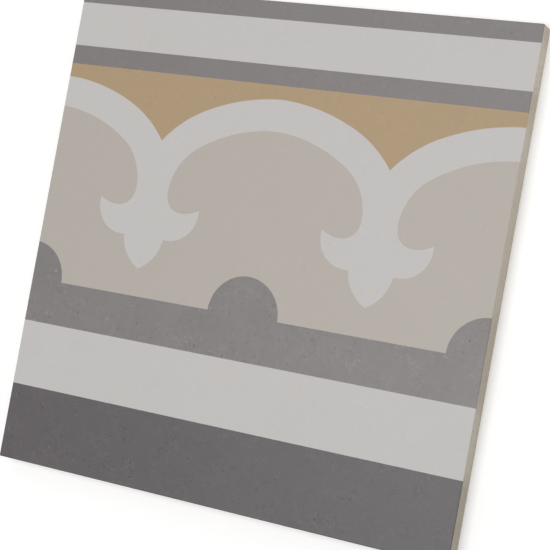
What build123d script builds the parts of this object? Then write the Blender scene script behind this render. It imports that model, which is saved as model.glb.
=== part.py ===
from build123d import *
from math import radians, tan
import os

# Pressed and fired border tile, lying on its back with the printed face up.
# Origin: centre of the back. +X runs along the border, +Y to the top of its
# pattern, +Z up through the printed face. All lengths are in millimetres.

# Laying module: one tile and one joint hold exactly two repeats of the border
border_repeat = 100.0
repeats_per_tile = 2
joint_width = 1.2
face_side = border_repeat * repeats_per_tile - joint_width
thickness = 8.5

# Sides of the pressing: an upright land below the face, then a draft to the back
land_height = 2.0
side_draft = 1.25
upright_corner_radius = 0.5
face_arris_radius = 0.4
back_arris_chamfer = 0.4
draft_height = thickness - land_height
back_side = face_side - 2 * draft_height * tan(radians(side_draft))

# Key on the back: shallow drafted pockets with ribs between them. The count is
# even, so two ribs cross at the centre of the back.
pockets_per_side = 8
pocket_pitch = 23.0
rib_width = 3.0
pocket_side = pocket_pitch - rib_width
pocket_depth = 0.7
pocket_corner_radius = 3.0
pocket_draft = 30.0

os.makedirs("parts", exist_ok=True)

with BuildPart() as border_tile:
    # Drafted body, from the smaller back to the full outline
    with BuildSketch(Plane.XY):
        RectangleRounded(back_side, back_side, upright_corner_radius)
    with BuildSketch(Plane.XY.offset(draft_height)):
        RectangleRounded(face_side, face_side, upright_corner_radius)
    loft()

    # Upright land up to the face
    with BuildSketch(Plane.XY.offset(draft_height)):
        RectangleRounded(face_side, face_side, upright_corner_radius)
    extrude(amount=land_height)

    # Fine arris round the printed face, small chamfer round the back
    face_rim = border_tile.faces().sort_by(Axis.Z)[-1].edges()
    fillet(face_rim, radius=face_arris_radius)
    back_rim = border_tile.faces().sort_by(Axis.Z)[0].edges()
    chamfer(back_rim, length=back_arris_chamfer)

    # Keyed back: a square grid of pockets, each narrower at its floor
    with BuildSketch(Plane.XY):
        with GridLocations(pocket_pitch, pocket_pitch, pockets_per_side, pockets_per_side):
            RectangleRounded(pocket_side, pocket_side, pocket_corner_radius)
    extrude(amount=pocket_depth, taper=pocket_draft, mode=Mode.SUBTRACT)

border_tile.part.label = "border_tile"
export_step(border_tile.part, "parts/border_tile.step")
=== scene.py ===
"""Border tile: one pressed and fired piece with a matte printed face and a keyed back.

Lengths are in millimetres until a mesh is made, which is in metres. +X runs along the border,
+Y to the top of its pattern, and +Z up through the printed face.
"""

import logging
import math
from dataclasses import dataclass
from enum import Enum, IntEnum
from typing import Callable, Sequence, Union

import bmesh
import bpy
from mathutils import Matrix, Vector


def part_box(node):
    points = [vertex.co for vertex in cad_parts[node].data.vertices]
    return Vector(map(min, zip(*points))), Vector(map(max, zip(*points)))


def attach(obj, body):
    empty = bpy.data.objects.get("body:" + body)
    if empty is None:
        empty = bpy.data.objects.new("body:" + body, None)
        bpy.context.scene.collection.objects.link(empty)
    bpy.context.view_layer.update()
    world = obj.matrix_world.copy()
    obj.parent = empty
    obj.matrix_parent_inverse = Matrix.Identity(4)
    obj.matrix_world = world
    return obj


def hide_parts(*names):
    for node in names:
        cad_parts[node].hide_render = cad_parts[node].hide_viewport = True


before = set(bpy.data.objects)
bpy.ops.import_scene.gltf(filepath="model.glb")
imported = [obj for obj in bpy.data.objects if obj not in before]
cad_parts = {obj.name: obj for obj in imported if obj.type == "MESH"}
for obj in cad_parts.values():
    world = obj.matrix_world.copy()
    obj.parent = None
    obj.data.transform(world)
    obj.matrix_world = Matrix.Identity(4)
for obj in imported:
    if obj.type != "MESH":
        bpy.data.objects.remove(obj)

MM = 0.001
TILE_NODE = "border_tile"
TILE_BODY = "root"
PIECE = "printed_tile"
BAKE_MAP = "OFBake"
WHITE_LIGHT = (1.0, 1.0, 1.0, 1.0)

log = logging.getLogger("border_tile")

Pair = tuple[float, float]
Triple = tuple[float, float, float]
Crossing = tuple[int, int]
Ring = list[bmesh.types.BMVert]
Faces = list[bmesh.types.BMFace]
Socket = bpy.types.NodeSocket
Number = Union["Signal", float]
Paint = Union[Socket, Sequence[float]]
Feed = Union["Signal", Socket, Sequence[float], float, str]
Key = Union[str, int]
Inputs = dict[Key, Feed]


class Seed(IntEnum):
    """Which of all random patterns each use reads, so that no two are alike."""

    INK_EDGE = 1
    GREY_GRAIN = 2
    GREY_CLOUD = 3
    GLAZE = 6
    CLAY_GRAIN = 7
    CLAY_SPECK = 8
    GRIT_CLUSTER = 9
    GRIT_STIR = 10
    FACE_RELIEF = 11
    GRIT_STREAK = 12


# Node trees


class Wiring:
    """A node tree that grows node by node."""

    def __init__(self, tree: bpy.types.NodeTree) -> None:
        """Take over a tree."""
        self.tree = tree

    def feed(self, entry: Socket, value: Feed) -> None:
        """Link an output to an input, or give the input a plain value.

        Args:
            entry: The input.
            value: The output or the plain value.
        """
        value = value.socket if isinstance(value, Signal) else value
        if isinstance(value, Socket):
            self.tree.links.new(value, entry)
        else:
            entry.default_value = value

    def put(self, kind: str, inputs: Inputs, **settings: object) -> bpy.types.Node:
        """Add a node.

        Args:
            kind: Its type.
            inputs: What feeds its inputs, by their names or numbers.
            settings: Its own settings.

        Returns:
            The node.
        """
        made = self.tree.nodes.new(kind)
        for name, value in settings.items():
            setattr(made, name, value)
        for key, value in inputs.items():
            self.feed(made.inputs[key], value)
        return made

    def first(self, kind: str, inputs: Inputs, **settings: object) -> Socket:
        """Add a node as put does, and take its first output."""
        return self.put(kind, inputs, **settings).outputs[0]

    def signal(self, kind: str, inputs: Inputs, output: Key = 0, **settings: object) -> "Signal":
        """Add a node as put does, and take one of its outputs as a number."""
        return Signal(self, self.put(kind, inputs, **settings).outputs[output])

    def seen(self) -> "Signal":
        """Tell the rays that show what they meet from those that light it.

        Returns:
            1 for a camera, glossy or transmission ray, otherwise 0.
        """
        path = self.put("ShaderNodeLightPath", {}).outputs
        direct = Signal(self, path["Is Camera Ray"])
        return direct | Signal(self, path["Is Glossy Ray"]) | Signal(self, path["Is Transmission Ray"])


class Signal:
    """A number that varies over a surface, held as one output of a node tree.

    Arithmetic on signals adds the Math nodes that carry it out.
    """

    def __init__(self, wiring: Wiring, socket: Socket) -> None:
        """Hold one output of a tree."""
        self.wiring = wiring
        self.socket = socket

    def node(self, operation: str, *others: Number, clamp: bool = False) -> "Signal":
        """Add a Math node whose inputs are this signal and others, held between 0 and 1 on request."""
        inputs = dict(enumerate((self, *others)))
        return self.wiring.signal("ShaderNodeMath", inputs, operation=operation, use_clamp=clamp)

    def __add__(self, other: Number) -> "Signal":
        """Add."""
        return self.node("ADD", other)

    def __sub__(self, other: Number) -> "Signal":
        """Subtract."""
        return self.node("SUBTRACT", other)

    def __rsub__(self, other: float) -> "Signal":
        """Subtract this signal from a plain number."""
        return self.node("MULTIPLY_ADD", -1.0, other)

    def __mul__(self, other: Number) -> "Signal":
        """Multiply."""
        return self.node("MULTIPLY", other)

    def __neg__(self) -> "Signal":
        """Turn the sign, so that the inside of a shape becomes its outside."""
        return self.node("MULTIPLY", -1.0)

    def __and__(self, other: Number) -> "Signal":
        """Keep what lies in both shapes."""
        return self.node("MINIMUM", other)

    def __or__(self, other: Number) -> "Signal":
        """Join two shapes."""
        return self.node("MAXIMUM", other)

    def share(self, edge: float) -> "Signal":
        """Turn a depth inside a shape into how much of it shows: 0 to 1 over the edge's width."""
        return self.node("MULTIPLY_ADD", 1.0 / edge, 0.5, clamp=True)


class Sheet(Wiring):
    """The node tree of one material, with the few kinds of node that these finishes use."""

    def __init__(self, name: str) -> None:
        """Start a material that holds a Principled shader and the place on the piece in millimetres.

        Args:
            name: The material's name.
        """
        self.material = bpy.data.materials.new(name)
        self.material.use_nodes = True
        super().__init__(self.material.node_tree)
        self.shader = next(n for n in self.tree.nodes if n.type == "BSDF_PRINCIPLED")
        metres = self.put("ShaderNodeTexCoord", {}).outputs["Object"]
        self.place = self.first("ShaderNodeMapping", {"Vector": metres, "Scale": (1 / MM,) * 3})

    def axes(self) -> list[Signal]:
        """Split the place into its three coordinates."""
        split = self.put("ShaderNodeSeparateXYZ", {0: self.place})
        return [Signal(self, out) for out in split.outputs]

    def _noise(self, length: float, seed: Seed, detail: float, roughness: float) -> bpy.types.Node:
        """Add the Noise Texture node of a random pattern that is fixed on the piece.

        Args:
            length: Size of its largest features.
            seed: Which of all such patterns it is.
            detail: How many finer layers it has.
            roughness: How strong they are.

        Returns:
            The node.
        """
        inputs = {"Vector": self.place, "W": float(seed), "Scale": 1.0 / length}
        inputs |= {"Detail": detail, "Roughness": roughness}
        return self.put("ShaderNodeTexNoise", inputs, noise_dimensions="4D")

    def noise(self, length: float, seed: Seed, detail: float = 2.0, roughness: float = 0.5) -> Signal:
        """Add a random pattern that is fixed on the piece: a number mostly between -0.5 and 0.5."""
        return Signal(self, self._noise(length, seed, detail, roughness).outputs["Fac"]) - 0.5

    def stirred(self, reach: float, length: float, seed: Seed) -> Socket:
        """Move the place on the piece about at random, so that a pattern read there is bent.

        Args:
            reach: How far it is moved.
            length: Size of the bends.
            seed: Which of all such moves it is.

        Returns:
            The moved place.
        """
        bends = self._noise(length, seed, 2.0, 0.5).outputs["Color"]
        inputs = {0: bends, 1: (reach,) * 3, 2: self.place}
        return self.first("ShaderNodeVectorMath", inputs, operation="MULTIPLY_ADD")

    def _cells(self, place: Socket, size: float, feature: str) -> bpy.types.Node:
        """Add the Voronoi Texture node that splits the face's plane into cells of a size."""
        inputs = {"Vector": place, "Scale": 1.0 / size}
        return self.put("ShaderNodeTexVoronoi", inputs, voronoi_dimensions="2D", feature=feature)

    def spots(self, place: Socket, size: float, radius: float) -> Signal:
        """Scatter soft round spots, one to a random cell, few of them strong.

        Args:
            place: The place that the pattern is read at.
            size: Size of a cell.
            radius: Radius of a spot.

        Returns:
            A number that is 0 off the spots, and in each of them at most between -0.5 and 0.5.
        """
        cells = self._cells(place, size, "F1").outputs
        depth = radius - Signal(self, cells["Distance"]) * size
        strength = Signal(self, cells["Color"]) - 0.5
        # its cube makes strong spots rare, and the factor keeps the range
        return depth.share(radius) * (strength * strength * strength * 4.0)

    def veins(self, place: Socket, size: float, width: float) -> Signal:
        """Draw soft lines of a width along the edges of random cells: 1 in their middle, 0 off them."""
        depth = self._cells(place, size, "DISTANCE_TO_EDGE").outputs["Distance"]
        return (width / 2 - Signal(self, depth) * size).share(width)

    def mixed(self, share: Signal, below: Paint, above: Paint) -> Socket:
        """Lay a share of one colour over another, by the node's sockets for colours."""
        return self.put("ShaderNodeMix", {0: share, 6: below, 7: above}, data_type="RGBA").outputs[2]

    def blended(self, share: Signal, below: Number, above: Number) -> Signal:
        """Pass from one number to another by a share of the way, by the node's sockets for numbers."""
        return self.signal("ShaderNodeMix", {0: share, 2: below, 3: above})

    def toned(self, colour: Socket, tone: Signal) -> Socket:
        """Make a colour lighter or darker, by what it is multiplied with."""
        return self.first("ShaderNodeVectorMath", {0: colour, "Scale": tone}, operation="SCALE")

    def drive(self, name: str, value: Feed) -> None:
        """Feed one of the shader's inputs."""
        self.feed(self.shader.inputs[name], value)

    def raise_by(self, height: Signal) -> None:
        """Let a height in millimetres raise the surface as seen by the light."""
        self.drive("Normal", self.first("ShaderNodeBump", {"Distance": MM, "Height": height}))


# The print and the finishes


@dataclass(frozen=True)
class Arc:
    """A circle, such as one that a stretch of the printed outline follows."""

    x: float  # place of its centre, in the print its distance from the drop's centre line
    y: float  # place of its centre, in the print its height above the middle of the tile
    radius: float

    def tightened(self, x: float, radius: float) -> "Arc":
        """Find the smaller arc that this one passes into with no kink.

        Args:
            x: Where the two arcs meet.
            radius: Radius of the smaller arc.

        Returns:
            The smaller arc.
        """
        along, share = x - self.x, 1.0 - radius / self.radius
        up = math.sqrt(self.radius**2 - along**2)
        return Arc(self.x + along * share, self.y + up * share, radius)


class Spot:
    """A place in the plane of the face, to be measured against circles."""

    def __init__(self, sheet: Sheet, x: Signal, y: Signal) -> None:
        """Hold two coordinates in a material, and both as one vector."""
        self.sheet, self.x, self.y = sheet, x, y
        self.vector = sheet.first("ShaderNodeCombineXYZ", {"X": x, "Y": y})

    def inside(self, arc: Arc) -> Signal:
        """Measure how deep it lies inside a circle, below zero outside it."""
        ends = {0: self.vector, 1: (arc.x, arc.y, 0.0)}
        return arc.radius - self.sheet.signal("ShaderNodeVectorMath", ends, "Value", operation="DISTANCE")


@dataclass(frozen=True)
class FiredColour:
    """How one ink, or the clay, looks once it is fired."""

    srgb: tuple[int, int, int]  # red, green and blue, from 0 to 255
    roughness: float  # how dull it is
    grit: float = 0.0  # how much it shows of the cement-like clouds, grain, specks and streaks

    def linear(self) -> tuple[float, ...]:
        """Give the colour in the linear values that shaders take, with a full alpha."""
        parts = (c / 255.0 for c in self.srgb)
        return *(c / 12.92 if c <= 0.04045 else ((c + 0.055) / 1.055) ** 2.4 for c in parts), 1.0


class Ink(Enum):
    """The inks of the border, by the colour they leave."""

    SAND = FiredColour((176, 169, 161), 0.48, 0.1)
    WHITE = FiredColour((193, 190, 188), 0.55, 0.1)
    OCHRE = FiredColour((167, 143, 110), 0.5, 0.2)
    STRIPE_GREY = FiredColour((118, 113, 113), 0.43, 0.36)
    GREY = FiredColour((120, 115, 114), 0.43, 0.75)
    DARK_GREY = FiredColour((82, 77, 79), 0.42, 0.88)


class LaidInks:
    """The border's inks in one material, each with how much it hides of those below it."""

    def __init__(self, sheet: Sheet, shares: list[tuple[FiredColour, Signal]]) -> None:
        """Hold the inks that lie on the sand ground, from the lowest up."""
        self.sheet = sheet
        self.shares = shares

    def colour(self) -> Socket:
        """Lay the inks' colours over each other.

        Returns:
            The colour at each place.
        """
        colour: Paint = Ink.SAND.value.linear()
        for ink, share in self.shares:
            colour = self.sheet.mixed(share, colour, ink.linear())
        return colour

    def level(self, trait: Callable[[FiredColour], float]) -> Signal:
        """Lay one trait of the inks over each other.

        Args:
            trait: Reads the trait of an ink.

        Returns:
            The trait at each place.
        """
        level: Number = trait(Ink.SAND.value)
        for ink, share in self.shares:
            level = self.sheet.blended(share, level, trait(ink))
        return level


@dataclass(frozen=True)
class BorderPattern:
    """The printed border: level bands, scalloped arches with a drop between them, and bosses.

    Heights count from the middle of the tile. Distances across a repeat count from the centre
    line of the nearest drop, so one half of the pattern gives all of it.
    """

    repeat: float = 100.0  # length of one repeat along the border
    shift: Pair = (-0.3, 0.03)  # how far the print stands off the tile's middle, along and across
    turn: float = 0.07  # how far it is turned on the tile, counterclockwise, in degrees
    arch_shift: float = 0.36  # how far the arches' upper edges stand off the rest, along the border
    top_stripe_foot: float = 92.16  # lower edge of the stripe along the tile's top
    top_band_foot: float = 74.14  # lower edge of the white band
    second_stripe_foot: float = 66.34  # lower edge of the second stripe
    field_foot: float = -24.42  # lower edge of the field that holds the arches
    ledge_foot: float = -42.04  # lower edge of the grey ledge
    low_band_foot: float = -68.48  # lower edge of the lower white band
    outer_crown: Arc = Arc(52.4, -20.0, 80.93)  # upper edge of the arch, round its crown
    outer_joint: float = 17.0  # where that edge tightens towards the cusp
    outer_haunch: float = 48.9  # radius of the tighter stretch
    inner_crown: Arc = Arc(51.9, -13.2, 61.5)  # lower edge of the arch, round its crown
    inner_joint: float = 17.4  # where that edge tightens down into the stem
    inner_haunch: float = 22.75  # radius of the tighter stretch
    stem_foot: Arc = Arc(14.65, 18.3, 7.14)  # turn from the stem into the leaf
    leaf_top: Arc = Arc(15.0, 26.2, 15.1)  # hollow upper edge of the leaf
    leaf_end: Arc = Arc(11.0, 11.7, 12.05)  # round outer edge of the leaf
    bud: Arc = Arc(-7.4, 1.7, 16.7)  # each side of the pointed bud
    boss: Arc = Arc(50.0, -24.42, 15.36)  # the half-round boss on the ledge
    wander: float = 0.12  # how far the inks' edges stray from their drawn lines
    wander_length: float = 1.6  # length of such a stray

    def across(self, x: Signal) -> Signal:
        """Fold a place along the border onto its distance from the nearest drop's centre line."""
        half = self.repeat / 2
        return (x - (self.shift[0] + half)).node("PINGPONG", half)

    def under_arch(self, at: Spot) -> Signal:
        """Measure the depth below the arches' upper edge.

        Args:
            at: The place, counted from the nearest cusp's centre line.

        Returns:
            The depth.
        """
        haunch = self.outer_crown.tightened(self.outer_joint, self.outer_haunch)
        past_cusp = (at.x - self.outer_joint) | (self.stem_foot.y - at.y)
        return at.inside(self.outer_crown) & (at.inside(haunch) | past_cusp)

    def lobe(self, at: Spot) -> Signal:
        """Measure the depth inside the sand field under an arch, down to the stem's turn."""
        haunch = self.inner_crown.tightened(self.inner_joint, self.inner_haunch)
        return (at.inside(self.inner_crown) & (at.x - self.inner_joint)) | at.inside(haunch)

    def drop(self, at: Spot) -> Signal:
        """Measure the depth inside the leaves and the bud, below the stem's turn.

        Args:
            at: The place, counted from the nearest drop's centre line.

        Returns:
            The depth.
        """
        beyond_leaf = (at.x - self.leaf_end.x) | 0.0
        leaf = Spot(at.sheet, beyond_leaf + self.leaf_end.x, at.y).inside(self.leaf_end)
        hollow = at.inside(self.leaf_top) & (at.x - self.leaf_top.x)
        return (leaf | at.inside(self.bud)) & -(at.inside(self.stem_foot) | hollow)

    def layers(self, sheet: Sheet) -> list[tuple[Ink, Signal]]:
        """List the inks over the sand ground, in the order in which they cover each other.

        Args:
            sheet: The material that the pattern is drawn in.

        Returns:
            Each ink with the depth inside its shape.
        """
        along, up, _ = sheet.axes()
        lean = math.tan(math.radians(self.turn))
        x, y = up * lean + along, up - along * lean - self.shift[1]
        at = Spot(sheet, self.across(x), y)
        arch = self.under_arch(Spot(sheet, self.across(x - self.arch_shift), y))
        above_turn = (y - self.stem_foot.y).node("GREATER_THAN", 0.0)
        white = sheet.blended(above_turn, self.drop(at), arch & -self.lobe(at))
        return [
            (Ink.WHITE, white),
            (Ink.OCHRE, -arch),
            (Ink.GREY, at.inside(self.boss) | (self.field_foot - y)),
            (Ink.WHITE, self.ledge_foot - y),
            (Ink.DARK_GREY, self.low_band_foot - y),
            (Ink.STRIPE_GREY, y - self.second_stripe_foot),
            (Ink.WHITE, y - self.top_band_foot),
            (Ink.STRIPE_GREY, y - self.top_stripe_foot),
        ]

    def laid(self, sheet: Sheet, edge: float) -> LaidInks:
        """Print the border in a material.

        Args:
            sheet: The material.
            edge: Width over which one ink passes into the next.

        Returns:
            The inks as they lie over each other.
        """
        stray = sheet.noise(self.wander_length, Seed.INK_EDGE) * self.wander
        shares = [(ink.value, (depth + stray).share(edge)) for ink, depth in self.layers(sheet)]
        return LaidInks(sheet, shares)


@dataclass(frozen=True)
class CementGrit:
    """The cement-like look of the grey inks: slow clouds, grain, specks and short bent streaks."""

    cloud_length: float = 16.0  # size of the slow changes of tone
    cloud: float = 0.34  # strength of those changes
    grain_length: float = 3.0  # size of the grain
    grain: float = 0.2  # its strength
    cluster_length: float = 9.0  # size of the patches in which specks and streaks gather
    cluster_fade: float = 0.2  # how gently they end
    speck_spacing: float = 1.4  # distance from one speck to the next
    speck_radius: float = 0.34
    speck: float = 2.1  # strength of a speck, light or dark
    streak_spacing: float = 2.4  # distance from one streak to the next
    streak_width: float = 0.34
    streak_length: float = 2.5  # length over which a streak comes and goes
    streak_rarity: float = 0.05  # how rarely one shows
    streak_fade: float = 0.06  # how gently it does so
    streak: float = 0.32  # strength of a light streak
    streak_dark: float = 0.24  # strength of a dark one
    stir: float = 3.4  # how far specks and streaks are bent

    def tone(self, sheet: Sheet) -> Signal:
        """Draw the grit in a material.

        Args:
            sheet: The material.

        Returns:
            Its tone about 0, where 0.1 is a tenth lighter.
        """
        cloud = sheet.noise(self.cloud_length, Seed.GREY_CLOUD, detail=3.0, roughness=0.6) * self.cloud
        grain = sheet.noise(self.grain_length, Seed.GREY_GRAIN) * self.grain
        place = sheet.stirred(self.stir, self.streak_spacing, Seed.GRIT_STIR)
        specks = sheet.spots(place, self.speck_spacing, self.speck_radius) * self.speck
        lines = sheet.veins(place, self.streak_spacing, self.streak_width)
        turns = sheet.noise(self.streak_length, Seed.GRIT_STREAK)
        light = (turns - self.streak_rarity).share(self.streak_fade) * self.streak
        dark = (-turns - self.streak_rarity).share(self.streak_fade) * self.streak_dark
        streaks = lines * (light - dark)
        cluster = sheet.noise(self.cluster_length, Seed.GRIT_CLUSTER).share(self.cluster_fade)
        return cloud + grain + (specks + streaks) * cluster


@dataclass(frozen=True)
class PrintedFaceFinish:
    """The face: matte glaze with the border printed in it."""

    pattern: BorderPattern = BorderPattern()
    grit: CementGrit = CementGrit()
    edge: float = 0.12  # width over which one ink passes into the next
    roughness_change: float = 0.12  # how much the glaze's roughness varies from place to place
    texture_length: float = 0.9  # size of the glaze's fine texture
    texture_depth: float = 0.004  # depth of that texture
    grit_depth: float = 0.05  # depth to which the grit stands in the surface

    def material(self) -> bpy.types.Material:
        """Make the face's material.

        Returns:
            The material.
        """
        sheet = Sheet("printed_face")
        laid = self.pattern.laid(sheet, self.edge)
        grit = self.grit.tone(sheet) * laid.level(lambda ink: ink.grit)
        sheet.drive("Base Color", sheet.toned(laid.colour(), grit + 1.0))
        texture = sheet.noise(self.texture_length, Seed.GLAZE, detail=3.0, roughness=0.6)
        roughness = laid.level(lambda ink: ink.roughness)
        sheet.drive("Roughness", texture * self.roughness_change + roughness)
        sheet.raise_by(texture * self.texture_depth + grit * self.grit_depth)
        return sheet.material


@dataclass(frozen=True)
class FiredBodyFinish:
    """The bare fired clay of the sides and the back."""

    clay: FiredColour = FiredColour((181, 172, 154), 0.85)
    pattern: BorderPattern = BorderPattern()  # the print, whose spray reaches the sides
    spray: float = 0.21  # how much of the neighbouring ink tints the side
    spray_blur: float = 7.0  # width over which one ink's tint passes into the next
    spray_foot: float = 1.6  # height at which that tint ends
    spray_fade: float = 0.8  # height over which it ends
    grain_length: float = 1.5  # size of the clay's grain
    grain: float = 0.5  # its strength
    speck_length: float = 1.3  # spacing of the dark specks
    speck_level: float = 0.2  # how rare they are
    speck: float = 1.2  # their strength
    wash: float = 0.10  # how much lighter the ribs are, where the kiln wash stays on them
    wash_depth: float = 0.25  # depth in the back over which the wash ends
    grain_depth: float = 0.03  # depth to which the grain stands in the surface

    def material(self) -> bpy.types.Material:
        """Make the clay's material.

        Returns:
            The material.
        """
        sheet = Sheet("fired_body")
        _, _, z = sheet.axes()
        grain = sheet.noise(self.grain_length, Seed.CLAY_GRAIN, detail=5.0, roughness=0.7)
        specks = (sheet.noise(self.speck_length, Seed.CLAY_SPECK) - self.speck_level) | 0.0
        wash = (self.wash_depth - z).share(self.wash_depth) * self.wash
        tone = grain * self.grain - specks * self.speck + wash + 1.0
        sprayed = (z - self.spray_foot).share(self.spray_fade) * self.spray
        laid = self.pattern.laid(sheet, self.spray_blur)
        tinted = sheet.mixed(sprayed, self.clay.linear(), laid.colour())
        sheet.drive("Base Color", sheet.toned(tinted, tone))
        sheet.drive("Roughness", self.clay.roughness)
        sheet.raise_by(grain * self.grain_depth)
        return sheet.material


# The pressed body


@dataclass(frozen=True)
class BodySizes:
    """Sizes of the pressed body. Side and thickness come from the frame."""

    side: float  # length of each side of the face
    thickness: float  # height of the face above the back
    corner_radius: float = 0.5  # radius of the upright corners
    face_arris: float = 0.4  # radius of the rounded edge of the face
    land_height: float = 2.0  # height of the upright band below the face
    side_draft: float = 1.25  # slope of the sides below that band, in degrees
    back_chamfer: float = 0.4  # width of the chamfer round the back
    pockets_per_side: int = 8  # pockets of the key along each side
    pocket_pitch: float = 23.0  # distance from one pocket to the next
    rib_width: float = 3.0  # width of the ribs between them
    pocket_depth: float = 0.7
    pocket_corner: float = 3.0  # radius of a pocket's corners at the back's plane
    pocket_draft: float = 30.0  # slope of a pocket's walls, in degrees
    rib_round: float = 0.2  # radius that eases the ribs' edges
    floor_round: float = 0.3  # radius along the foot of a pocket's walls

    @classmethod
    def from_frame(cls) -> "BodySizes":
        """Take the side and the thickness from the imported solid."""
        low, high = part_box(TILE_NODE)
        return cls(side=(high.x - low.x) / MM, thickness=(high.z - low.z) / MM)


@dataclass(frozen=True)
class Station:
    """One level of a turned-in outline: a rounded square at a height."""

    half: float  # half the square's side
    corner: float  # radius of its corners
    z: float


def divided(start: float, length: float, count: int) -> list[float]:
    """Place the ends of equal steps that divide a length from a start."""
    return [start + length * i / count for i in range(1, count + 1)]


def rounded(x: float, y: float, half: float, corner: float) -> Pair:
    """Move a point of a square so that the square's corners become round.

    Args:
        x: First coordinate, up to half the side.
        y: Second coordinate, up to half the side.
        half: Half the square's side.
        corner: Radius of its corners.

    Returns:
        The moved point. Only points within a corner's own square move.
    """
    inner = half - corner
    beyond_x, beyond_y = abs(x) - inner, abs(y) - inner
    reach = max(beyond_x, beyond_y)
    if min(beyond_x, beyond_y) <= 0.0:
        return x, y
    angle = math.pi / 4 * min(beyond_x, beyond_y) / reach
    if beyond_y > beyond_x:
        angle = math.pi / 2 - angle
    return (
        math.copysign(inner + reach * math.cos(angle), x),
        math.copysign(inner + reach * math.sin(angle), y),
    )


@dataclass(frozen=True)
class Lattice:
    """Lines across a rounded square, the same number at every level of the body."""

    core: float  # half width of the middle part, whose lines never move
    core_steps: int  # steps across the middle part
    margin_steps: int  # steps from there to where the corners begin
    corner_steps: int  # steps across a corner

    def lines(self, half: float, corner: float) -> list[float]:
        """Place the lines for one level.

        Args:
            half: Half the square's side.
            corner: Radius of its corners.

        Returns:
            The lines' coordinates, from one side to the other.
        """
        inner = half - corner
        middle = [self.core * (2 * i / self.core_steps - 1) for i in range(self.core_steps + 1)]
        outward = divided(self.core, inner - self.core, self.margin_steps)
        outward += divided(inner, corner, self.corner_steps)
        return [-value for value in reversed(outward)] + middle + outward

    @property
    def steps(self) -> int:
        """Steps from one side to the other."""
        return self.core_steps + 2 * (self.margin_steps + self.corner_steps)

    def rim(self) -> list[Crossing]:
        """Walk once round the lattice, counterclockwise.

        Returns:
            The crossings on its outline.
        """
        end = self.steps
        return (
            [(i, 0) for i in range(end)]
            + [(end, i) for i in range(end)]
            + [(end - i, end) for i in range(end)]
            + [(0, end - i) for i in range(end)]
        )

    def verts(self, bm: bmesh.types.BMesh, station: Station, crossings: list[Crossing]) -> Ring:
        """Add vertices where lines cross at one level.

        Args:
            bm: The mesh.
            station: The level.
            crossings: Where they are wanted.

        Returns:
            The vertices, in the same order.
        """
        lines = self.lines(station.half, station.corner)
        made = []
        for i, j in crossings:
            x, y = rounded(lines[i], lines[j], station.half, station.corner)
            made.append(bm.verts.new((x * MM, y * MM, station.z * MM)))
        return made

    def ring(self, bm: bmesh.types.BMesh, station: Station) -> Ring:
        """Add the vertices round one level, counterclockwise."""
        return self.verts(bm, station, self.rim())


def bridge(bm: bmesh.types.BMesh, upper: Ring, lower: Ring) -> Faces:
    """Close the strip between two rings of as many vertices.

    Args:
        bm: The mesh.
        upper: The upper ring, or the outer one on the back.
        lower: The other ring.

    Returns:
        The strip's faces, which face outwards.
    """
    count = len(upper)
    corners = ((lower[i], lower[(i + 1) % count], upper[(i + 1) % count], upper[i]) for i in range(count))
    return [bm.faces.new(four) for four in corners]


def as_mesh(bm: bmesh.types.BMesh, name: str) -> bpy.types.Mesh:
    """Keep what was built as a mesh.

    Args:
        bm: What was built. It is freed.
        name: The mesh's name.

    Returns:
        The mesh.
    """
    mesh = bpy.data.meshes.new(name)
    bm.to_mesh(mesh)
    bm.free()
    return mesh


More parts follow.
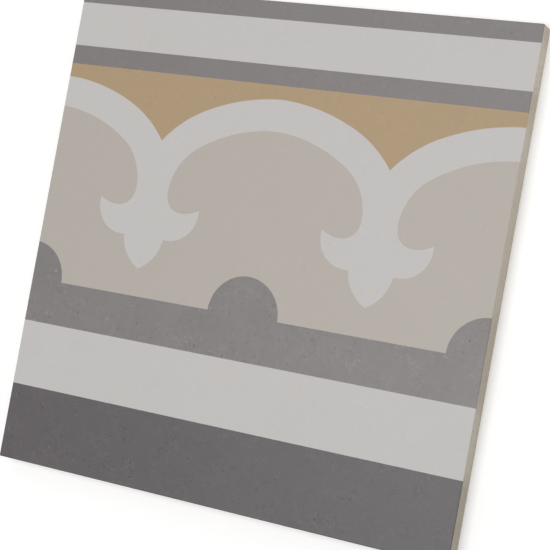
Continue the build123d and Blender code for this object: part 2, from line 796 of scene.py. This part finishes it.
@dataclass(frozen=True)
class PressedShell:
    """Face, arris, sides and the flat margin of the back, as one open shell.

    The hole that is left in the back has the outline of the pockets' field.
    """

    RELIEF = "relief"
    PRINTED = "printed"

    sizes: BodySizes
    pocket_steps: int  # steps of the mesh across one pocket and its rib
    margin_steps: int = 3  # steps from the pockets' field to where the corners begin
    corner_steps: int = 4  # steps across a corner
    arris_steps: int = 8  # steps round the arris of the face
    printed_steps: int = 6  # how many of these the print covers
    draft_steps: int = 5  # steps down the drafted part of the sides
    relief_run: float = 3.0  # distance from the face's edge over which its relief sets in

    @property
    def lattice(self) -> Lattice:
        """Lines of the shell, whose middle part is the pockets' field.

        Returns:
            The lattice.
        """
        field = self.sizes.pockets_per_side * self.sizes.pocket_pitch / 2
        steps = self.sizes.pockets_per_side * self.pocket_steps
        return Lattice(field, steps, self.margin_steps, self.corner_steps)

    def arris(self) -> list[Station]:
        """Turn the rounded edge from the face down to the side.

        Returns:
            The levels, from the top down.
        """
        sizes = self.sizes
        made = []
        for step in range(self.arris_steps + 1):
            angle = math.pi / 2 * step / self.arris_steps
            inset = sizes.face_arris * (1.0 - math.sin(angle))
            z = sizes.thickness - sizes.face_arris * (1.0 - math.cos(angle))
            made.append(Station(sizes.side / 2 - inset, sizes.corner_radius - inset, z))
        return made

    def sides(self) -> list[Station]:
        """Go down the upright land and the draft to the chamfer round the back.

        Returns:
            The levels, from the top down.
        """
        sizes = self.sizes
        foot = sizes.thickness - sizes.land_height
        slope = math.tan(math.radians(sizes.side_draft))
        made = []
        for step in range(self.draft_steps + 1):
            z = foot + (sizes.back_chamfer - foot) * step / self.draft_steps
            made.append(Station(sizes.side / 2 - (foot - z) * slope, sizes.corner_radius, z))
        back = sizes.side / 2 - foot * slope - sizes.back_chamfer
        made.append(Station(back, sizes.corner_radius - sizes.back_chamfer, 0.0))
        return made

    def mesh(self) -> bpy.types.Mesh:
        """Build the shell.

        Returns:
            The mesh, with a relief weight on its vertices and a mark on its printed faces.
        """
        bm = bmesh.new()
        bm.verts.layers.float.new(self.RELIEF)
        printed = bm.faces.layers.int.new(self.PRINTED)
        arris, sides = self.arris(), self.sides()
        rings = [self.lattice.ring(bm, station) for station in arris + sides]
        for face in self.plate(bm, arris[0], rings[0], filled=True):
            face[printed] = 1
        for index, (upper, lower) in enumerate(zip(rings, rings[1:])):
            for face in bridge(bm, upper, lower):
                face[printed] = int(index < self.printed_steps)
        self.plate(bm, sides[-1], rings[-1], filled=False)
        return as_mesh(bm, "tile_shell")

    def plate(self, bm: bmesh.types.BMesh, station: Station, ring: Ring, filled: bool) -> Faces:
        """Close one end of the shell with a flat grid that ends on its ring.

        Args:
            bm: The mesh.
            station: The end's level.
            ring: Its vertices.
            filled: Whether it is the face, whose middle is closed too and takes the relief weight.

        Returns:
            The grid's faces.
        """
        lattice, count = self.lattice, self.lattice.steps
        edge = (count - lattice.core_steps) // 2
        hole = range(0) if filled else range(edge + 1, count - edge)
        inner = [(i, j) for i in range(1, count) for j in range(1, count) if i not in hole or j not in hole]
        made = lattice.verts(bm, station, inner)
        if filled:
            relief = bm.verts.layers.float[self.RELIEF]
            for vert in made:
                inward = station.half - max(abs(vert.co.x), abs(vert.co.y)) / MM
                vert[relief] = min(1.0, inward / self.relief_run)
        verts = dict(zip(lattice.rim() + inner, ring + made))
        cells = range(0) if filled else range(edge, count - edge)
        faces = []
        for i in range(count):
            for j in range(count):
                if i not in cells or j not in cells:
                    corners = [verts[i, j], verts[i + 1, j], verts[i + 1, j + 1], verts[i, j + 1]]
                    faces.append(bm.faces.new(corners if filled else corners[::-1]))
        return faces


@dataclass(frozen=True)
class BackPocket:
    """One pocket of the key with half a rib round it, as an open patch of the back."""

    sizes: BodySizes
    steps: int  # steps of the mesh along each side of the patch, as many as in the shell
    corner_steps: int = 3  # steps across a corner of the pocket
    round_steps: int = 3  # steps round the rib's edge, and round the foot of the wall

    def stations(self) -> list[Station]:
        """Go from the rib's flat top over its edge, down the wall and round onto the floor.

        Returns:
            The levels, from the rib inwards.
        """
        sizes = self.sizes
        slope = math.radians(sizes.pocket_draft)
        bend = math.pi / 2 - slope
        mouth = (sizes.pocket_pitch - sizes.rib_width) / 2
        foot = mouth - sizes.pocket_depth * math.tan(slope)
        made = []
        # the wall's straight line meets the rib's plane at the mouth and the floor's plane at the foot
        for radius, meeting, plane, way in (
            (sizes.rib_round, mouth, 0.0, 1),
            (sizes.floor_round, foot, sizes.pocket_depth, -1),
        ):
            centre = meeting + way * radius * math.tan(bend / 2)
            centre_z = plane + way * radius
            for step in range(self.round_steps + 1):
                turn = bend * step / self.round_steps
                angle = turn if way > 0 else bend - turn
                half = centre - way * radius * math.sin(angle)
                z = centre_z - way * radius * math.cos(angle)
                made.append(Station(half, sizes.pocket_corner + half - mouth, z))
        return made

    def mesh(self) -> bpy.types.Mesh:
        """Build the patch.

        Returns:
            The mesh, centred on the origin.
        """
        bm = bmesh.new()
        half_pitch = self.sizes.pocket_pitch / 2
        rings = [Lattice(half_pitch, self.steps, 0, 0).ring(bm, Station(half_pitch, 0.0, 0.0))]
        straight = self.steps - 2 * self.corner_steps
        for station in self.stations():
            lattice = Lattice(station.half - station.corner, straight, 0, self.corner_steps)
            rings.append(lattice.ring(bm, station))
        for outer, inner in zip(rings, rings[1:]):
            bridge(bm, outer, inner)
        bm.faces.new(rings[-1][::-1])
        return as_mesh(bm, "back_pocket")


class PressingTree(Wiring):
    """Geometry nodes that press the key into the back and the fine relief into the face."""

    INPUTS = {
        "Shell": "Geometry",
        "Pocket": "Object",
        "Pockets per side": "Int",
        "Pocket pitch": "Float",
        "Weld distance": "Float",
        "Relief depth": "Float",
        "Relief length": "Float",
        "Relief seed": "Int",
        "Body finish": "Material",
        "Face finish": "Material",
    }

    def __init__(self) -> None:
        """Make the tree with its named inputs."""
        super().__init__(bpy.data.node_groups.new("tile_pressing", "GeometryNodeTree"))
        self.keys = {name: self._socket(name, "INPUT", kind) for name, kind in self.INPUTS.items()}
        self._socket("Tile", "OUTPUT", "Geometry")
        self.given = self.put("NodeGroupInput", {}).outputs
        self.put("NodeGroupOutput", {0: self._finished(self._welded())})

    def _socket(self, name: str, way: str, kind: str) -> str:
        """Add one named input or output to the tree, and give its identifier."""
        return self.tree.interface.new_socket(name, in_out=way, socket_type=f"NodeSocket{kind}").identifier

    def _size(self, name: str) -> Signal:
        """Read one of the numbers that are given to the tree."""
        return Signal(self, self.given[name])

    def _mark(self, name: str, kind: str) -> Signal:
        """Read one of the values that the shell's mesh carries."""
        return self.signal("GeometryNodeInputNamedAttribute", {"Name": name}, data_type=kind)

    def _relief(self) -> Socket:
        """Sink the face by a smooth random depth, which fades out at its arris.

        Returns:
            The shell with its uneven face.
        """
        inputs = {
            "Vector": self.first("GeometryNodeInputPosition", {}),
            "W": self.given["Relief seed"],
            "Scale": self._size("Relief length").node("POWER", -1.0),
            "Detail": 3.0,
        }
        waves = self.signal("ShaderNodeTexNoise", inputs, noise_dimensions="4D")
        depth = waves * self._size("Relief depth") * self._mark(PressedShell.RELIEF, "FLOAT")
        offset = self.first("ShaderNodeCombineXYZ", {"Z": -depth})
        return self.first("GeometryNodeSetPosition", {"Geometry": self.given["Shell"], "Offset": offset})

    def _key(self) -> Socket:
        """Set a pocket on every point of a square grid.

        Returns:
            The pockets, as instances.
        """
        count = self._size("Pockets per side")
        span = (count - 1.0) * self._size("Pocket pitch")
        sides = {"Size X": span, "Size Y": span, "Vertices X": count, "Vertices Y": count}
        points = self.first("GeometryNodeMeshGrid", sides)
        pocket = self.put("GeometryNodeObjectInfo", {"Object": self.given["Pocket"]}).outputs["Geometry"]
        return self.first("GeometryNodeInstanceOnPoints", {"Points": points, "Instance": pocket})

    def _welded(self) -> Socket:
        """Join the shell and the key, and weld them into one closed body.

        Returns:
            The body.
        """
        joined = self.put("GeometryNodeJoinGeometry", {0: self._relief()})
        self.feed(joined.inputs[0], self._key())
        real = self.first("GeometryNodeRealizeInstances", {0: joined.outputs[0]})
        inputs = {"Geometry": real, "Distance": self.given["Weld distance"]}
        return self.first("GeometryNodeMergeByDistance", inputs)

    def _finished(self, body: Socket) -> Socket:
        """Give the body its finish, and its printed faces theirs.

        Args:
            body: The closed body.

        Returns:
            The same body with its two materials.
        """
        bare = {"Geometry": body, "Material": self.given["Body finish"]}
        printed = {
            "Geometry": self.first("GeometryNodeSetMaterial", bare),
            "Selection": self._mark(PressedShell.PRINTED, "INT"),
            "Material": self.given["Face finish"],
        }
        return self.first("GeometryNodeSetMaterial", printed)

    def applied(self, shell: bpy.types.Object, values: dict[str, object]) -> bpy.types.Mesh:
        """Run the tree on a shell and take the result as a plain mesh.

        Args:
            shell: The object that holds the shell.
            values: The tree's inputs by name.

        Returns:
            The finished mesh.
        """
        modifier = shell.modifiers.new("pressing", "NODES")
        modifier.node_group = self.tree
        for name, value in values.items():
            modifier[self.keys[name]] = value
        bpy.context.view_layer.update()
        depsgraph = bpy.context.evaluated_depsgraph_get()
        mesh = bpy.data.meshes.new_from_object(shell.evaluated_get(depsgraph))
        shell.modifiers.remove(modifier)
        return mesh


@dataclass(frozen=True)
class BakeMap:
    """The map through which the finishes are baked: the face large, the sides and the back small."""

    sizes: BodySizes
    gap: float = 0.006  # space round each part, as a share of the map
    face: float = 0.77  # side of the face's part
    strip: float = 0.05  # width of a side's part, which is as long as the face's
    back: float = 0.21  # side of the back's part
    level: float = 0.5  # upright share of the normal that tells a level face from a side

    def spot(self, place: Vector, normal: Vector) -> Pair:
        """Find where a corner of a face lies in the map.

        Args:
            place: The corner's place, in metres.
            normal: The face's normal.

        Returns:
            The map's two coordinates.
        """
        side = self.sizes.side * MM
        x, y = place.x / side + 0.5, place.y / side + 0.5
        beyond = 2 * self.gap + self.face
        if normal.z > self.level:
            return self.gap + x * self.face, self.gap + y * self.face
        if normal.z < -self.level:
            return self.gap + x * self.back, beyond + y * self.back
        faces_x = abs(normal.x) > abs(normal.y)
        number = (0 if faces_x else 2) + (normal.x + normal.y > 0)
        start = beyond + number * (self.strip + self.gap)
        height = place.z / (self.sizes.thickness * MM)
        return start + height * self.strip, self.gap + (y if faces_x else x) * self.face

    def write(self, mesh: bpy.types.Mesh) -> None:
        """Add the map to a mesh.

        Args:
            mesh: The tile's mesh.
        """
        layer = mesh.uv_layers.new(name=BAKE_MAP)
        for polygon in mesh.polygons:
            for corner in polygon.loop_indices:
                place = mesh.vertices[mesh.loops[corner].vertex_index].co
                layer.data[corner].uv = self.spot(place, polygon.normal)


# The scene


def added(name: str, data: bpy.types.ID) -> bpy.types.Object:
    """Put a new object into the scene.

    Args:
        name: Its name.
        data: Its mesh, camera or lamp.

    Returns:
        The object.
    """
    made = bpy.data.objects.new(name, data)
    bpy.context.collection.objects.link(made)
    return made


@dataclass(frozen=True)
class BorderTile:
    """The tile itself, dressed."""

    sizes: BodySizes
    face_finish: PrintedFaceFinish
    body_finish: FiredBodyFinish  # finish of the sides and the back
    relief_depth: float = 0.05  # depth of the face's slow unevenness
    relief_length: float = 22.0  # length of its waves
    pocket_steps: int = 12  # steps of the mesh across one pocket of the key and its rib
    weld: float = 0.002  # distance within which the key's edges are joined to the shell
    smooth_angle: float = 32.0  # turn between two faces up to which an edge shades smooth, in degrees

    def build(self) -> bpy.types.Object:
        """Build the tile.

        Returns:
            The finished object, riding on the body of the node that it replaces.
        """
        shell = added("tile_shell", PressedShell(self.sizes, self.pocket_steps).mesh())
        pocket = added("back_pocket", BackPocket(self.sizes, self.pocket_steps).mesh())
        values = {
            "Pocket": pocket,
            "Pockets per side": self.sizes.pockets_per_side,
            "Pocket pitch": self.sizes.pocket_pitch * MM,
            "Weld distance": self.weld * MM,
            "Relief depth": self.relief_depth * MM,
            "Relief length": self.relief_length * MM,
            "Relief seed": Seed.FACE_RELIEF.value,
            "Body finish": self.body_finish.material(),
            "Face finish": self.face_finish.material(),
        }
        mesh = PressingTree().applied(shell, values)
        for helper in (shell, pocket):
            bpy.data.objects.remove(helper)
        mesh.name = PIECE
        self.finish_mesh(mesh)
        tile = added(PIECE, mesh)
        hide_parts(TILE_NODE)
        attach(tile, TILE_BODY)
        return tile

    def finish_mesh(self, mesh: bpy.types.Mesh) -> None:
        """Turn all faces outwards, shade the mesh and map it.

        Args:
            mesh: The tile's mesh.
        """
        bm = bmesh.new()
        bm.from_mesh(mesh)
        bmesh.ops.recalc_face_normals(bm, faces=bm.faces)
        open_edges = sum(not edge.is_manifold for edge in bm.edges)
        log.info("tile mesh: %d faces, %d open edges", len(bm.faces), open_edges)
        bm.to_mesh(mesh)
        bm.free()
        mesh.shade_smooth()
        mesh.set_sharp_from_angle(angle=math.radians(self.smooth_angle))
        BakeMap(self.sizes).write(mesh)
        for name in (PressedShell.RELIEF, PressedShell.PRINTED):
            if name in mesh.attributes:
                mesh.attributes.remove(mesh.attributes[name])


@dataclass(frozen=True)
class Viewpoint:
    """The camera, as worked out from the face's four corners in the picture."""

    eye: Triple = (279.42, -20.92, 548.45)  # its place, from the middle of the face
    sight: Triple = (-0.4399, 0.0234, -0.8977)  # the direction in which it looks
    top: Triple = (-0.1509, 0.9835, 0.0995)  # the direction that is up in the picture
    lens: float = 104.0  # its focal length
    sensor: float = 36.0  # the sensor's width

    def build(self, face_height: float) -> None:
        """Set up the camera and make it the scene's own.

        Args:
            face_height: Height of the face above the floor.
        """
        data = bpy.data.cameras.new("camera")
        data.sensor_width = self.sensor
        data.lens = self.lens
        camera = added("camera", data)
        back = -Vector(self.sight).normalized()
        right = Vector(self.top).cross(back).normalized()
        turn = Matrix((right, back.cross(right), back)).transposed().to_4x4()
        place = (Vector(self.eye) + Vector((0.0, 0.0, face_height))) * MM
        camera.matrix_world = Matrix.Translation(place) @ turn
        bpy.context.scene.camera = camera


@dataclass(frozen=True)
class SoftLamp:
    """A square lamp that is aimed at the middle of the floor."""

    name: str
    place: Triple
    side: float
    power: float  # in watts

    def build(self) -> None:
        """Hang the lamp."""
        data = bpy.data.lights.new(self.name, "AREA")
        data.shape = "SQUARE"
        data.size = self.side * MM
        data.energy = self.power
        lamp = added(self.name, data)
        place = Vector(self.place) * MM
        lamp.matrix_world = Matrix.Translation(place) @ place.to_track_quat("Z", "Y").to_matrix().to_4x4()


@dataclass(frozen=True)
class Studio:
    """Plain pale floor and soft light."""

    floor_side: float = 6000.0
    floor_grey: float = 0.9  # how pale the floor is
    floor_roughness: float = 0.9  # how dull it is
    floor_lift: float = 0.2  # what the camera sees on top of it near the tile, so that it ends in white
    far_lift: float = 0.4  # what it sees on top of that where the lamps no longer reach
    near: float = 200.0  # distance from the tile's middle at which the lamps' light begins to fall off
    far: float = 1600.0  # distance at which it ends
    daylight: float = 0.47  # strength of the light from all round
    lamps: tuple[SoftLamp, ...] = (  # the lamp overhead and the low one beside the tile
        SoftLamp("key_lamp", (-130.0, 0.0, 1440.0), 900.0, 10.15),
        SoftLamp("side_lamp", (400.0, 450.0, 52.0), 90.0, 0.83),
    )

    def build(self) -> None:
        """Set up floor, lamps and world."""
        self.floor()
        for lamp in self.lamps:
            lamp.build()
        self.world()
        bpy.context.scene.view_settings.view_transform = "Standard"

    def floor(self) -> None:
        """Lay the floor on which the tile rests."""
        half = self.floor_side / 2 * MM
        mesh = bpy.data.meshes.new("floor")
        ends = [(x * half, y * half, 0.0) for x, y in ((-1, -1), (1, -1), (1, 1), (-1, 1))]
        mesh.from_pydata(ends, [], [(0, 1, 2, 3)])
        mesh.materials.append(self.floor_material())
        added("floor", mesh)

    def floor_material(self) -> bpy.types.Material:
        """Make the floor's material, which takes shadow near the tile and ends in white.

        Returns:
            The material.
        """
        sheet = Sheet("floor")
        sheet.drive("Base Color", (*(self.floor_grey,) * 3, 1.0))
        sheet.drive("Roughness", self.floor_roughness)
        sheet.drive("Emission Color", WHITE_LIGHT)
        x, y, _ = sheet.axes()
        outward = -Spot(sheet, x, y).inside(Arc(0.0, 0.0, (self.near + self.far) / 2))
        lift = outward.share(self.far - self.near) * self.far_lift + self.floor_lift
        sheet.drive("Emission Strength", sheet.seen() * lift)
        return sheet.material

    def world(self) -> None:
        """Light the tile from all round, before a background that shows white."""
        world = bpy.data.worlds.new("studio")
        world.use_nodes = True
        wiring = Wiring(world.node_tree)
        background = next(n for n in world.node_tree.nodes if n.type == "BACKGROUND").inputs
        wiring.feed(background["Color"], WHITE_LIGHT)
        wiring.feed(background["Strength"], wiring.seen() * (1.0 - self.daylight) + self.daylight)
        bpy.context.scene.world = world


def corners(box: tuple[Vector, Vector]) -> list[list[float]]:
    """Write a box's two corners as plain lists of numbers."""
    return [list(corner) for corner in box]


def main() -> None:
    logging.basicConfig(level=logging.INFO, format="%(name)s: %(message)s")
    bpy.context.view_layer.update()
    sizes = BodySizes.from_frame()
    tile = BorderTile(sizes, PrintedFaceFinish(), FiredBodyFinish()).build()
    log.info("%s: %d polygons", tile.name, len(tile.data.polygons))
    Studio().build()
    Viewpoint().build(sizes.thickness)


if __name__ == "__main__":
    main()
